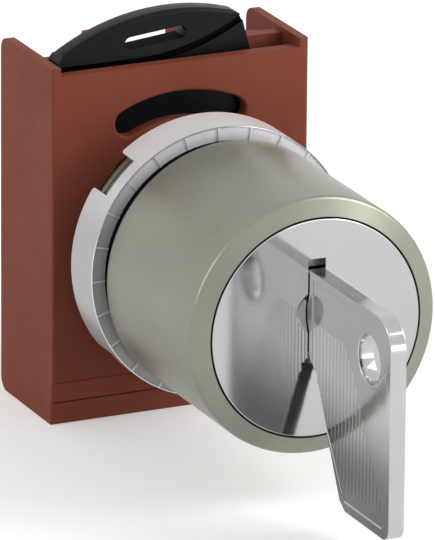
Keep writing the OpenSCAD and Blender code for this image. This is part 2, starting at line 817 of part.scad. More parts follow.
// Plug with its flange, journal, square tail, keyway and wafer slots
module lock_plug() {
    half = keyway_w / 2;
    ward_play = 0.15;
    ridge = ward_depth - ward_play;
    track_r = ball_r + 0.1;
    color([0.74, 0.68, 0.48]) difference() {
        union() {
            turned() {
                band(0, plug_flange_r, disc_back_y, plug_flange_y);
                band(0, plug_r, plug_flange_y - join, step_y);
                band(0, journal_r, step_y - over, cam_y - face_play);
                band(0, tail_r, cam_y - over, tail_end_y);
            }
            along_y(cam_y - face_play - join, cam_back_y)
                area([-tail_w / 2, -tail_w / 2], [tail_w / 2, tail_w / 2]);
        }
        // Keyway with a ward on each side
        along_y(disc_back_y - over, blade_end_y + 2 * ward_play) difference() {
            area([-half, keyway_low], [half, keyway_high]);
            for (side = [0, 1])
                area([side ? half - ridge : -half - over, ward_z[side] - ward_w / 2 + ward_play],
                    [side ? half + over : -half + ridge, ward_z[side] + ward_w / 2 - ward_play]);
        }
        for (i = [0:wafers - 1])
            along_y(wafer_y(i) - wafer_t / 2 - wafer_play / 2, wafer_y(i) + wafer_t / 2 + wafer_play / 2)
                wafer_slot();
        // Track and two pockets of the detent ball
        turned() translate([ball_at_r, ball_y]) circle(track_r);
        for (angle = [0, key_turn])
            rotate([0, 180 - angle, 0]) translate([ball_at_r - pocket_sink, ball_y, 0])
                sphere(track_r);
        // Groove of the clip
        turned() band(tail_r - clip_groove, tail_r + over, clip_y, clip_y + clip_t + slip);
    }
}

// Flat wafer with its window and the notch for its spring
module wafer(i) {
    color([0.78, 0.66, 0.36]) along_y(wafer_y(i) - wafer_t / 2, wafer_y(i) + wafer_t / 2)
        difference() {
            intersection() {
                circle(wafer_r);
                area([-wafer_half, -plug_r], [wafer_half, plug_r]);
            }
            area([-window_half, keyway_low], [window_half, keyway_high]);
            area([-wafer_half - over, spring_z[0] - spring_rib - notch_play], [notch_x, spring_z[1]]);
        }
}

// Spring that pushes a wafer outwards
module wafer_spring(i) {
    length = spring_z[1] - spring_z[0] - 2 * end_play;
    color([0.60, 0.60, 0.60]) translate([spring_x, wafer_y(i), spring_z[0] + end_play])
        coil(0.4, 0.1, length, spring_turns);
}

// Ball of the detent
module detent_ball() {
    color([0.70, 0.70, 0.72]) translate([-ball_at_r, ball_y, 0]) sphere(ball_r);
}

// Spring of the detent, between the ball and the wall of the head
module detent_spring() {
    wire_r = 0.12;
    start = ball_at_r + 0.55 * ball_r;
    color([0.60, 0.60, 0.60]) translate([-start, ball_y, 0]) rotate([0, -90, 0])
        coil(0.9 * ball_r, wire_r, barrel_r - start, spring_turns - 1);
}

// Helical ramp on the cam's rear face, rising from one push rod to the next
module ramp(start) {
    steps = 20;
    low = start - ramp_margin;
    span = key_turn + 2 * ramp_margin;
    base = 1;
    corners = [for (i = [0:steps], r = [ramp_in_r, ramp_out_r], top = [0, 1])
        let (turn = low + span * i / steps,
            y = top ? cam_back_y + rise_per_degree * (turn - start) : cam_back_y - base)
        [r * cos(turn), y, r * sin(turn)]];
    walls = [for (i = [0:steps - 1]) let (a = 4 * i, b = 4 * i + 4)
        each [[a + 1, b + 1, b, a], [b + 2, b + 3, a + 3, a + 2],
            [a + 3, b + 3, b + 1], [a + 3, b + 1, a + 1], [b, b + 2, a + 2, a]]];
    last = 4 * steps;
    polyhedron(corners, concat(walls, [[2, 3, 1, 0], [last + 1, last + 3, last + 2, last]]));
}

// Cam on the plug's square tail, with a groove for the stop tab and two ramps
module switch_cam() {
    hole = tail_w / 2 + slip;
    swing = tab_half + 2.5;
    color([0.86, 0.84, 0.78]) difference() {
        union() {
            turned() band(0, cam_r, cam_y, cam_back_y - rise_per_degree * ramp_margin);
            turned() band(0, cam_hub_r, cam_y, cam_back_y);
            for (start = [0, 180])
                ramp(start);
        }
        along_y(cam_y - over, cam_back_y + over) area([-hole, -hole], [hole, hole]);
        // Seen from the cam, the fixed tab moves forwards as the cam turns back
        turned_sector(tab_angle - swing, tab_angle + key_turn + swing)
            band(tab_r[0] - loose, tab_r[1] + loose, cam_y - over, spigot_y + tab_length + loose);
    }
}

// Open spring clip that holds the cam on the tail
module cam_clip() {
    clip_r = tail_r + 2;
    mouth = 1.7;
    eye_at = [2.9, 1.6];
    eye_r = 0.6;
    color([0.35, 0.35, 0.36]) along_y(clip_y + 0.02, clip_y + clip_t) difference() {
        circle(clip_r);
        circle(tail_r - clip_groove + slip);
        area([-mouth, -clip_r - over], [mouth, 0]);
        // Two holes for the pliers
        for (side = [-1, 1])
            translate([side * eye_at[0], eye_at[1]]) circle(eye_r);
    }
}

// Push rod with a round front end, a collar and a stem
module plunger(side) {
    color([0.90, 0.89, 0.86]) translate([side * plunger_x, 0, 0]) {
        translate([0, tip_y, 0]) sphere(tip_r);
        turned() {
            band(0, tip_r, tip_y, collar_y + join);
            band(0, collar_r, collar_y, collar_y + collar_t);
            band(0, stem_r, collar_y, stem_end_y);
        }
    }
}

// Return spring round a push rod's stem
module plunger_spring(side) {
    wire_r = 0.15;
    length = spring_seat_y - collar_y - collar_t - 2 * end_play;
    spring_r = stem_r + 0.2 + wire_r;
    color([0.60, 0.60, 0.60]) translate([side * plunger_x, collar_y + collar_t + end_play, 0])
        rotate([-90, 0, 0]) coil(spring_r, wire_r, length, spring_turns);
}

// Cap in the end of the neck that guides the tail and the two push rods
module plunger_guide() {
    color([0.20, 0.20, 0.21]) difference() {
        turned() {
            band(0, nut_r, guide_y, neck_end_y + join);
            band(0, snap_r, snap_y, snap_y + snap_w);
            band(0, neck_groove_r - tooth_gap, neck_end_y, guide_back_y);
        }
        along_y(guide_y - over, tail_end_y + join) circle(tail_r + running);
        for (side = [-1, 1]) {
            along_y(guide_y - over, spring_seat_y) translate([side * plunger_x, 0]) circle(well_r);
            along_y(guide_y - over, guide_back_y + over)
                translate([side * plunger_x, 0]) circle(stem_r + running);
        }
    }
}

flange_frame();
locking_lever();
bezel_ring();
head_shell();
face_disc();
key();
panel_gasket();
ring_seal();
disc_seal();
lock_barrel();
barrel_nut();
lock_plug();
wafer(0);  // wafer_1
wafer(1);  // wafer_2
wafer(2);  // wafer_3
wafer(3);  // wafer_4
wafer(4);  // wafer_5
wafer(5);  // wafer_6
wafer_spring(0);  // wafer_spring_1
wafer_spring(1);  // wafer_spring_2
wafer_spring(2);  // wafer_spring_3
wafer_spring(3);  // wafer_spring_4
wafer_spring(4);  // wafer_spring_5
wafer_spring(5);  // wafer_spring_6
detent_ball();
detent_spring();
switch_cam();
cam_clip();
plunger(-1);  // plunger_left
plunger(1);  // plunger_right
plunger_spring(-1);  // plunger_spring_left
plunger_spring(1);  // plunger_spring_right
plunger_guide();
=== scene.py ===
# Key switch: a key-operated switch head of the 22 mm size on its moulded mounting flange.
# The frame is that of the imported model: the head points to -Y, and +Z is up. Sizes are in
# millimetres here, and become metres where a shape is made.
import math
import bmesh
import bpy
from mathutils import Matrix, Vector


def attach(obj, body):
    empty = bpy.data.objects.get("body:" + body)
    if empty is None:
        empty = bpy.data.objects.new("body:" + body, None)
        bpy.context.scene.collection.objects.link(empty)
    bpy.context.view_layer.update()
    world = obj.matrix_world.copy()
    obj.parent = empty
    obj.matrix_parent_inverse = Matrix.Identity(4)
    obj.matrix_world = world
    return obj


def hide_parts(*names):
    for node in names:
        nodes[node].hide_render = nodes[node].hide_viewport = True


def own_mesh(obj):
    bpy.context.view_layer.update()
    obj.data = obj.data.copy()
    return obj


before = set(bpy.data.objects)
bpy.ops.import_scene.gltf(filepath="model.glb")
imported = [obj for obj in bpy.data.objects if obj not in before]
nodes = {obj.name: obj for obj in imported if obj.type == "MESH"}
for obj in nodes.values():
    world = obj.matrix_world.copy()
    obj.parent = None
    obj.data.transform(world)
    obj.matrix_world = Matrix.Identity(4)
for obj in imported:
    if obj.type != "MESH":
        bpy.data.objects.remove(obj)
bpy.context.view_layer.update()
bpy.ops.object.select_all(action="DESELECT")
MM = 0.001

# The view of the photograph: a long lens from the left front, a little above the head.
# The place and the turn of the camera are fitted to the outlines in the photograph.
view_azimuth, view_elevation, view_roll = (math.radians(a) for a in (24.817, 18.472, 0.471))
view_target = Vector((-6.848, -19.244, 4.275)) * MM
view_distance = 844.45 * MM
looking = Vector((math.sin(view_azimuth) * math.cos(view_elevation),
                  math.cos(view_azimuth) * math.cos(view_elevation), -math.sin(view_elevation)))
level_right = Vector((math.cos(view_azimuth), -math.sin(view_azimuth), 0))
level_up = level_right.cross(looking)
right = math.cos(view_roll) * level_right + math.sin(view_roll) * level_up
up = -math.sin(view_roll) * level_right + math.cos(view_roll) * level_up
photo_lens = bpy.data.cameras.new("photo_camera")
photo_lens.lens = 539.95
photo_lens.sensor_width = 36
photo_lens.clip_start = 0.05
camera = bpy.data.objects.new("photo_camera", photo_lens)
bpy.context.scene.collection.objects.link(camera)
camera.matrix_world = Matrix((right, up, -looking)).transposed().to_4x4()
camera.location = view_target - looking * view_distance
bpy.context.scene.camera = camera
bpy.context.scene.view_settings.view_transform = "Standard"

# The studio: a pale floor under the flange, an even white surround, and broad soft lamps.
# As a light the surround is dimmer than it looks, so that the lamps shape the object.
surround_as_lamp = 0.58
floor_z = -19.85
floor_glow = 0.30


def white_rays(tree):
    """Value that is 1 for the rays of the camera, of reflections and of clear matter."""
    path = tree.nodes.new("ShaderNodeLightPath")
    total = None
    for kind in ("Is Camera Ray", "Is Glossy Ray", "Is Transmission Ray"):
        if total is None:
            total = path.outputs[kind]
            continue
        either = tree.nodes.new("ShaderNodeMath")
        either.operation = "MAXIMUM"
        tree.links.new(total, either.inputs[0])
        tree.links.new(path.outputs[kind], either.inputs[1])
        total = either.outputs[0]
    return total


surround = bpy.data.worlds.new("white_surround")
bpy.context.scene.world = surround
surround.use_nodes = True
glow = surround.node_tree.nodes["Background"]
glow.inputs["Color"].default_value = (1, 1, 1, 1)
glow_level = surround.node_tree.nodes.new("ShaderNodeMapRange")
glow_level.inputs["To Min"].default_value = surround_as_lamp
glow_level.inputs["To Max"].default_value = 1.0
surround.node_tree.links.new(white_rays(surround.node_tree), glow_level.inputs["Value"])
surround.node_tree.links.new(glow_level.outputs[0], glow.inputs["Strength"])


def soft_lamp(name, place, target, width, height, watts):
    """Square soft box of a width and a height, aimed at a target."""
    box_data = bpy.data.lights.new(name, "AREA")
    box_data.shape = "RECTANGLE"
    box_data.size, box_data.size_y = width, height
    box_data.energy = watts
    lamp = bpy.data.objects.new(name, box_data)
    bpy.context.scene.collection.objects.link(lamp)
    lamp.location = place
    lamp.rotation_mode = "QUATERNION"
    lamp.rotation_quaternion = (Vector(target) - Vector(place)).to_track_quat("-Z", "Y")


soft_lamp("lamp_left", (-0.50, 0.04, 0.26), (0, 0, 0), 0.12, 0.30, 0.65)
soft_lamp("lamp_right", (0.36, -0.22, 0.28), (0, 0, 0), 0.30, 0.30, 1.5)
soft_lamp("lamp_low", (0.24, -0.42, 0.035), (0, 0, 0), 0.25, 0.12, 0.35)

bpy.ops.mesh.primitive_plane_add(size=3, location=(0, 0, floor_z * MM))
floor = bpy.context.object
floor.name = "floor"
floor_paint = bpy.data.materials.new("floor_white")
floor_paint.use_nodes = True
paint_tree = floor_paint.node_tree
paint = paint_tree.nodes["Principled BSDF"]
paint.inputs["Base Color"].default_value = (0.86, 0.86, 0.86, 1)
paint.inputs["Roughness"].default_value = 0.9
paint.inputs["Emission Color"].default_value = (1, 1, 1, 1)
paint_glow = paint_tree.nodes.new("ShaderNodeMath")
paint_glow.operation = "MULTIPLY"
paint_glow.inputs[1].default_value = floor_glow
paint_tree.links.new(white_rays(paint_tree), paint_glow.inputs[0])
paint_tree.links.new(paint_glow.outputs[0], paint.inputs["Emission Strength"])
floor.data.materials.append(floor_paint)

# Mounting flange: one moulding of red-brown glass-filled plastic with a fine grain. A plate
# with an arc slot, two side walls, a pocket for the lever, and three bays behind it.
flange_half, flange_top, flange_bottom = 15.0, 20.2, -19.8
plate_y, pocket_y, cross_y, bay_y, rear_y = 5.15, 6.65, 9.6, 11.1, 19.0
wall = 1.0
inner_top = 19.75
plate_top = 19.25
rear_corner = 1.5
bay_pitch, bay_rib = 10.0, 1.3
hole_r, hole_end_y = 11.3, 13.4
pocket_r = 14.0
slot_r, slot_w, slot_half_angle = 14.5, 3.0, 25.0
upper_step_z, lower_step_z = -15.1, -17.35
upper_step_depth, lower_step_depth = 0.2, 0.4
step_round, slot_round, front_round_w = 0.17, 0.34, 0.30
hook_half, hook_reach, hook_nose, hook_foot, hook_sunk = 2.0, 1.6, 0.8, 2.8, 0.35
window_half, window_front, window_rear = 2.5, rear_y - 4, rear_y - 1.8
over, join = 1.0, 0.2
around = 160


def only(piece):
    """Makes one piece the selected and active one."""
    bpy.ops.object.select_all(action="DESELECT")
    piece.select_set(True)
    bpy.context.view_layer.objects.active = piece


def block(name, low, high):
    """Box between two corners, from a cube."""
    middle = [(a + b) / 2 * MM for a, b in zip(low, high)]
    bpy.ops.mesh.primitive_cube_add(size=1, location=middle)
    piece = bpy.context.object
    piece.name = name
    piece.scale = [(b - a) * MM for a, b in zip(low, high)]
    bpy.ops.object.transform_apply(location=True, rotation=True, scale=True)
    return piece


def round_bar(name, r, y0, y1, x=0.0, z=0.0, steps=around):
    """Round bar along the head's axis, from a cylinder."""
    bpy.ops.mesh.primitive_cylinder_add(vertices=steps, radius=r * MM, depth=(y1 - y0) * MM,
                                        location=(x * MM, (y0 + y1) / 2 * MM, z * MM),
                                        rotation=(math.pi / 2, 0, 0))
    piece = bpy.context.object
    piece.name = name
    bpy.ops.object.transform_apply(location=True, rotation=True, scale=True)
    return piece


def prism(name, outline, along, low, high):
    """Face with the given outline, extruded along X or Y from low to high."""
    places = [(low, a, b) if along == "X" else (a, low, b) for a, b in outline]
    mesh = bpy.data.meshes.new(name)
    mesh.from_pydata([tuple(c * MM for c in p) for p in places], [], [list(range(len(places)))])
    piece = bpy.data.objects.new(name, mesh)
    bpy.context.scene.collection.objects.link(piece)
    only(piece)
    bpy.ops.object.mode_set(mode="EDIT")
    bpy.ops.mesh.select_all(action="SELECT")
    step = (high - low) * MM
    bpy.ops.mesh.extrude_region_move(
        TRANSFORM_OT_translate={"value": (step, 0, 0) if along == "X" else (0, step, 0)})
    bpy.ops.mesh.select_all(action="SELECT")
    bpy.ops.mesh.normals_make_consistent(inside=False)
    bpy.ops.object.mode_set(mode="OBJECT")
    return piece


def settle(piece):
    """Puts points on a grid of a tenth of a micrometre, so faces that should be level are."""
    for point in piece.data.vertices:
        point.co = [round(c, 7) for c in point.co]


def cut(piece, *tools):
    """Cuts the tools' shapes out of the piece and puts the tools away."""
    combine(piece, "DIFFERENCE", tools)


def add(piece, *others):
    """Joins the others to the piece and puts them away."""
    combine(piece, "UNION", others)


def combine(piece, way, others):
    """Applies the others to the piece one by one, in the given way, and removes them."""
    settle(piece)
    for other in others:
        settle(other)
        only(piece)
        step = piece.modifiers.new("step", "BOOLEAN")
        step.operation = way
        step.solver = "EXACT"
        step.object = other
        bpy.ops.object.modifier_apply(modifier=step.name)
        bpy.data.objects.remove(other)


def arc(x, z, r, start, end, steps):
    """Points on an arc round (x, z), with angles in degrees from +X towards +Z."""
    turns = [math.radians(start + (end - start) * i / steps) for i in range(steps + 1)]
    return [(x + r * math.cos(t), z + r * math.sin(t)) for t in turns]


def bevel_where(piece, width, segments, test):
    """Rounds the sharp edges whose two ends both pass the test, given in millimetres."""
    only(piece)
    bpy.ops.object.mode_set(mode="EDIT")
    bpy.ops.mesh.select_mode(type="EDGE")
    bpy.ops.mesh.select_all(action="DESELECT")
    edges = bmesh.from_edit_mesh(piece.data).edges
    for edge in edges:
        if len(edge.link_faces) == 2 and edge.calc_face_angle() > math.radians(25):
            edge.select_set(all(test(v.co / MM) for v in edge.verts))
    bmesh.update_edit_mesh(piece.data)
    bpy.ops.mesh.bevel(offset=width * MM, segments=segments, profile=0.5)
    bpy.ops.object.mode_set(mode="OBJECT")


def tidy(piece):
    """Merges points that lie on each other and turns the faces outwards."""
    only(piece)
    bpy.ops.object.mode_set(mode="EDIT")
    bpy.ops.mesh.select_all(action="SELECT")
    bpy.ops.mesh.remove_doubles(threshold=0.002 * MM)
    bpy.ops.mesh.normals_make_consistent(inside=False)
    bpy.ops.object.mode_set(mode="OBJECT")


def soften(piece, width, segments=2, angle=28):
    """Fine rounding of every sharp edge, then smooth shading that keeps the flats flat."""
    only(piece)
    edges = piece.modifiers.new("edges", "BEVEL")
    edges.limit_method = "ANGLE"
    edges.angle_limit = math.radians(angle)
    edges.width = width * MM
    edges.segments = segments
    edges.use_clamp_overlap = True
    edges.harden_normals = False
    bpy.ops.object.modifier_apply(modifier=edges.name)
    smooth(piece)


def smooth(piece, angle=35):
    """Smooth shading that keeps edges above the angle sharp and the flats flat."""
    only(piece)
    bpy.ops.object.shade_smooth_by_angle(angle=math.radians(angle))
    flats = piece.modifiers.new("flats", "WEIGHTED_NORMAL")
    flats.keep_sharp = True
    flats.weight = 80
    bpy.ops.object.modifier_apply(modifier=flats.name)


flange = block("mounting_flange", (-flange_half, plate_y, flange_bottom),
               (flange_half, rear_y, flange_top))
for level in (flange_top, flange_bottom):
    bevel_where(flange, rear_corner, 8, lambda p: p.y > rear_y - 0.01 and abs(p.z - level) < 0.01)
inside = flange_half - wall
floor_in = flange_bottom + wall
cut(flange,
    block("above_plate", (-inside, plate_y - over, plate_top),
          (inside, pocket_y + over, flange_top + over)),
    block("lever_swing", (-inside, pocket_y, 0), (inside, cross_y, flange_top + over)),
    round_bar("lever_pocket", pocket_r, pocket_y, cross_y),
    block("above_ribs", (-inside, cross_y - over, inner_top),
          (inside, rear_y + over, flange_top + over)))
rib_near, rib_far = bay_pitch / 2 - bay_rib / 2, bay_pitch / 2 + bay_rib / 2
for side_from, side_to in ((-inside, -rib_far), (-rib_near, rib_near), (rib_far, inside)):
    cut(flange, block("bay", (side_from, bay_y, floor_in), (side_to, rear_y + over, flange_top + over)))
hook_top = inner_top - hook_sunk
hook_outline = [(bay_y - join, hook_top), (bay_y + hook_reach, hook_top),
                (bay_y + hook_reach, hook_top - hook_nose), (bay_y - join, hook_top - hook_foot)]
for bay in (-1, 0, 1):
    bay_x = bay * bay_pitch
    add(flange, prism("hook", hook_outline, "X", bay_x - hook_half, bay_x + hook_half))
    cut(flange, block("window", (bay_x - window_half, window_front, flange_bottom - over),
                      (bay_x + window_half, window_rear, floor_in + over)))
cut(flange, round_bar("neck_hole", hole_r, plate_y - over, hole_end_y))
slot_in, slot_out = slot_r - slot_w / 2, slot_r + slot_w / 2
slot_from, slot_to = 90 - slot_half_angle, 90 + slot_half_angle
slot_end = [(slot_r * math.cos(math.radians(a)), slot_r * math.sin(math.radians(a)))
            for a in (slot_from, slot_to)]
slot_outline = (arc(0, 0, slot_out, slot_from, slot_to, 40)
                + arc(*slot_end[1], slot_w / 2, slot_to, slot_to + 180, 20)[1:-1]
                + arc(0, 0, slot_in, slot_to, slot_from, 40)
                + arc(*slot_end[0], slot_w / 2, slot_from - 180, slot_from, 20)[1:-1])
cut(flange, prism("arc_slot", slot_outline, "Y", plate_y - over, pocket_y + 0.5))
for step_z, step_depth in ((upper_step_z, upper_step_depth), (lower_step_z, lower_step_depth)):
    cut(flange, block("step", (-flange_half - over, plate_y - over, flange_bottom - over),
                      (flange_half + over, plate_y + step_depth, step_z)))
tidy(flange)
bevel_where(flange, step_round, 3, lambda p: (
    p.z < upper_step_z + 0.1 and p.y < plate_y + upper_step_depth + 0.05 and p.z > flange_bottom + 0.01))
bevel_where(flange, slot_round, 4, lambda p: (
    abs(p.y - plate_y) < 0.01 and p.z > 8 and math.hypot(p.x, p.z) < slot_out + 0.2))
bevel_where(flange, front_round_w, 3, lambda p: (
    abs(abs(p.x) - flange_half) < 0.01 and p.y < plate_y + lower_step_depth + 0.1))
soften(flange, 0.14)


noise_low, noise_high = 0.3, 0.7


def finish(name, metallic, roughness):
    """New material with its tree, its shader and the object's own coordinates."""
    material = bpy.data.materials.new(name)
    material.use_nodes = True
    tree = material.node_tree
    shader = tree.nodes["Principled BSDF"]
    shader.inputs["Metallic"].default_value = metallic
    shader.inputs["Roughness"].default_value = roughness
    places = tree.nodes.new("ShaderNodeTexCoord").outputs["Object"]
    return material, tree, shader, places


def grain(tree, places, size, detail):
    """Noise whose spots are about this many millimetres across."""
    scaled = tree.nodes.new("ShaderNodeMapping")
    scaled.inputs["Scale"].default_value = [1 / (size * MM)] * 3
    tree.links.new(places, scaled.inputs["Vector"])
    noise = tree.nodes.new("ShaderNodeTexNoise")
    noise.inputs["Scale"].default_value = 1.0
    noise.inputs["Detail"].default_value = detail
    tree.links.new(scaled.outputs[0], noise.inputs["Vector"])
    return noise.outputs["Fac"]


def tinted(tree, shader, value, dark, light):
    """Colour that runs from dark to light with a value."""
    ramp = tree.nodes.new("ShaderNodeValToRGB")
    ramp.color_ramp.elements[0].position = noise_low
    ramp.color_ramp.elements[1].position = noise_high
    ramp.color_ramp.elements[0].color = (*dark, 1)
    ramp.color_ramp.elements[1].color = (*light, 1)
    tree.links.new(value, ramp.inputs["Fac"])
    tree.links.new(ramp.outputs["Color"], shader.inputs["Base Color"])


def roughened(tree, shader, value, low, high):
    """Roughness that runs from low to high with a value."""
    span = tree.nodes.new("ShaderNodeMapRange")
    span.inputs["From Min"].default_value = noise_low
    span.inputs["From Max"].default_value = noise_high
    span.inputs["To Min"].default_value = low
    span.inputs["To Max"].default_value = high
    tree.links.new(value, span.inputs["Value"])
    tree.links.new(span.outputs[0], shader.inputs["Roughness"])


def relief(tree, shader, value, height, strength):
    """Fine relief of a height in millimetres."""
    bump = tree.nodes.new("ShaderNodeBump")
    bump.inputs["Strength"].default_value = strength
    bump.inputs["Distance"].default_value = height * MM
    tree.links.new(value, bump.inputs["Height"])
    tree.links.new(bump.outputs["Normal"], shader.inputs["Normal"])


def dress(piece, material):
    """Gives the piece this material alone."""
    piece.data.materials.clear()
    piece.data.materials.append(material)


flange_plastic, tree, shader, places = finish("flange_plastic", 0.0, 0.5)
tinted(tree, shader, grain(tree, places, 9, 4.0), (0.206, 0.056, 0.033), (0.230, 0.064, 0.040))
roughened(tree, shader, grain(tree, places, 2.5, 3.0), 0.42, 0.52)
shader.inputs["Specular IOR Level"].default_value = 0.04
relief(tree, shader, grain(tree, places, 0.22, 2.0), 0.012, 0.5)
dress(flange, flange_plastic)
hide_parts("flange_frame")
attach(flange, "base")

# Locking lever: black moulded plastic. A toothed ring round the neck in the flange's pocket,
# a thin web, and a thicker curved grip with a slot, which stands out above the flange.
lever_front, lever_web, lever_back = 6.8, 7.5, 9.4
lever_ring_r, lever_bore_r = 13.7, 11.1
lever_half, lever_turn, web_foot = 13.75, 15.0, 4.0
grip_r, grip_corner, grip_round = 24.65, 2.1, 0.45
hub_r = 17.0
crease_x, crease_z, crease_r, crease_steps = -5.0, 19.75, 24.7, range(0, 62, 2)
undercut_w, undercut_depth, undercut_start = 1.1, 0.4, -13
grip_slot_reach, grip_slot_half, grip_slot_r, grip_slot_turn = 2.75, 2.9, 0.7, 6
tooth_count, tooth_half_angle, lever_tooth_r = 8, 6, 10.4
lever_tooth_front, lever_tooth_back = 7.6, 9.15
clear = 20

corner_x = -lever_half + grip_corner
corner_z = math.sqrt((grip_r - grip_corner) ** 2 - corner_x ** 2)
corner_angle = math.degrees(math.atan2(corner_z, corner_x))
corner = arc(corner_x, corner_z, grip_corner, 180, corner_angle, 10)
turn = math.radians(lever_turn)
right_side = [(-x * math.cos(turn) - z * math.sin(turn), -x * math.sin(turn) + z * math.cos(turn))
              for x, z in reversed(corner)]
right_foot = ((lever_half - web_foot * math.sin(turn)) / math.cos(turn), web_foot)
lever = prism("lever", [(-lever_half, web_foot)] + corner
              + arc(0, 0, grip_r, corner_angle, 180 + lever_turn - corner_angle, 120)[1:-1]
              + right_side + [right_foot], "Y", lever_front, lever_back)


def crease_line(away):
    """Points of the bow under the grip, at a distance below the crease."""
    r = crease_r + away
    return [(crease_x + r * math.sin(math.radians(a)), crease_z + crease_r - r * math.cos(math.radians(a)))
            for a in crease_steps]


recess_outline = ([(-clear, crease_z)] + crease_line(0) + [(30, 5)]
                  + arc(0, 0, hub_r, 15, 165, 60) + [(-clear, web_foot)])
cut(lever, prism("web_recess", recess_outline, "Y", lever_front - over, lever_web))
undercut_outline = ([(undercut_start, crease_z)] + crease_line(0) + crease_line(undercut_w)[::-1]
                    + [(undercut_start, crease_z - undercut_w)])
cut(lever, prism("undercut", undercut_outline, "Y", lever_web - over, lever_web + undercut_depth))
add(lever, round_bar("lever_ring", lever_ring_r, lever_front, lever_back))
grip_slot = prism("grip_slot", arc(-grip_slot_half, 0, grip_slot_r, 90, 270, 12)
                  + arc(grip_slot_half, 0, grip_slot_r, -90, 90, 12), "Y", 0, clear)
only(grip_slot)
slot_turn = math.radians(grip_slot_turn)
slot_reach = grip_r - grip_slot_reach
grip_slot.rotation_euler = (0, -slot_turn, 0)
grip_slot.location = (-slot_reach * math.sin(slot_turn) * MM, 0, slot_reach * math.cos(slot_turn) * MM)
bpy.ops.object.transform_apply(location=True, rotation=True)
cut(lever, grip_slot, round_bar("lever_bore", lever_bore_r, 0, clear))
tidy(lever)
bevel_where(lever, grip_round, 5, lambda p: math.hypot(p.x, p.z) > grip_r - 0.08)


def add_teeth(piece, name, root_r, tip_r, low, high):
    """Joins the evenly spaced teeth of the bayonet catch to the piece."""
    tooth_points = (arc(0, 0, root_r, -tooth_half_angle, tooth_half_angle, 6)
                    + arc(0, 0, tip_r, tooth_half_angle, -tooth_half_angle, 6))
    for tooth in range(tooth_count):
        a = math.radians(360 / tooth_count * tooth)
        add(piece, prism(name, [(x * math.cos(a) - z * math.sin(a), x * math.sin(a) + z * math.cos(a))
                                for x, z in tooth_points], "Y", low, high))


add_teeth(lever, "lever_tooth", lever_bore_r + join, lever_tooth_r, lever_tooth_front, lever_tooth_back)
soften(lever, 0.12)

lever_plastic, tree, shader, places = finish("black_plastic", 0.0, 0.4)
tinted(tree, shader, grain(tree, places, 6, 3.0), (0.0065, 0.0065, 0.0068), (0.0095, 0.0095, 0.0098))
roughened(tree, shader, grain(tree, places, 1.5, 3.0), 0.30, 0.38)
shader.inputs["Specular IOR Level"].default_value = 0.10
relief(tree, shader, grain(tree, places, 0.18, 2.0), 0.008, 0.5)
dress(lever, lever_plastic)
# Painted shade: the walls of the grip's slot and the undercut along the crease are coloured darker than
# the lever, standing in for the shade inside them.
lever_painted_shade, tree, shader, places = finish("lever_painted_shade", 0.0, 0.7)
tinted(tree, shader, grain(tree, places, 6, 3.0), (0.0010, 0.0010, 0.0010), (0.0016, 0.0016, 0.0016))
shader.inputs["Specular IOR Level"].default_value = 0.05
lever.data.materials.append(lever_painted_shade)
for face in lever.data.polygons:
    place = face.center / MM
    from_axis = math.hypot(place.x, place.z)
    in_slot = (abs(face.normal.y) < 0.3 and slot_reach - 1 < from_axis < slot_reach + 0.95
               and place.x < 1)
    in_undercut = (lever_web + 0.1 < place.y < lever_web + undercut_depth + 0.01
                   and hub_r + 1 < from_axis < grip_r - 0.15)
    if in_slot or in_undercut:
        face.material_index = 1
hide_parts("locking_lever")
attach(lever, "lever")

# Head shell: turned from one bar of metal and finished in satin nickel. The head has a groove beside
# the ring, coloured black as painted shade, and a shoulder for the lock inside; the neck goes through
# the panel and catches in the lever with eight teeth.
head_r, head_front, head_round = 14.05, -28.24, 0.6
rim_front = -28.89
opening_r, barrel_y, barrel_r = 12.045, -25.9, 11.845
neck_r, neck_bore_r, neck_end = 11.0, 9.2, 11.2
spigot_r, shoulder_front, shoulder_back = 7.8, -2.2, -0.7
head_back, seal_groove_r, seal_back = -7.1, 13.25, -3.82
fine_groove_places, fine_groove = (-1.9, -0.9), 0.15
gasket_groove_r, gasket_groove = 12.35, -0.9
neck_step_y, neck_step_r = 7.4, 10.3
snap_r, snap_front, snap_back = 9.42, 9.7, 10.4
fit = 0.05
shell_tooth_r, shell_tooth_front = 10.1, 9.35
turn_rib_half, turn_rib_long, turn_rib_low, turn_rib_high = 1.3, 1.2, 10, 12.2
keyway_half_w, keyway_deep, keyway_shallow = 1.05, -8.45, -6.8


def turned(name, profile, steps=around):
    """Closed profile in the (radius, y) plane, spun once round the head's axis."""
    mesh = bpy.data.meshes.new(name)
    count = len(profile)
    mesh.from_pydata([(r * MM, y * MM, 0) for r, y in profile],
                     [(i, (i + 1) % count) for i in range(count)], [])
    piece = bpy.data.objects.new(name, mesh)
    bpy.context.scene.collection.objects.link(piece)
    only(piece)
    bpy.ops.object.mode_set(mode="EDIT")
    bpy.ops.mesh.select_all(action="SELECT")
    bpy.ops.mesh.spin(steps=steps, angle=2 * math.pi, center=(0, 0, 0), axis=(0, 1, 0))
    bpy.ops.mesh.select_all(action="SELECT")
    bpy.ops.mesh.remove_doubles(threshold=0.001 * MM)
    bpy.ops.mesh.select_all(action="SELECT")
    bpy.ops.mesh.normals_make_consistent(inside=False)
    bpy.ops.object.mode_set(mode="OBJECT")
    return piece


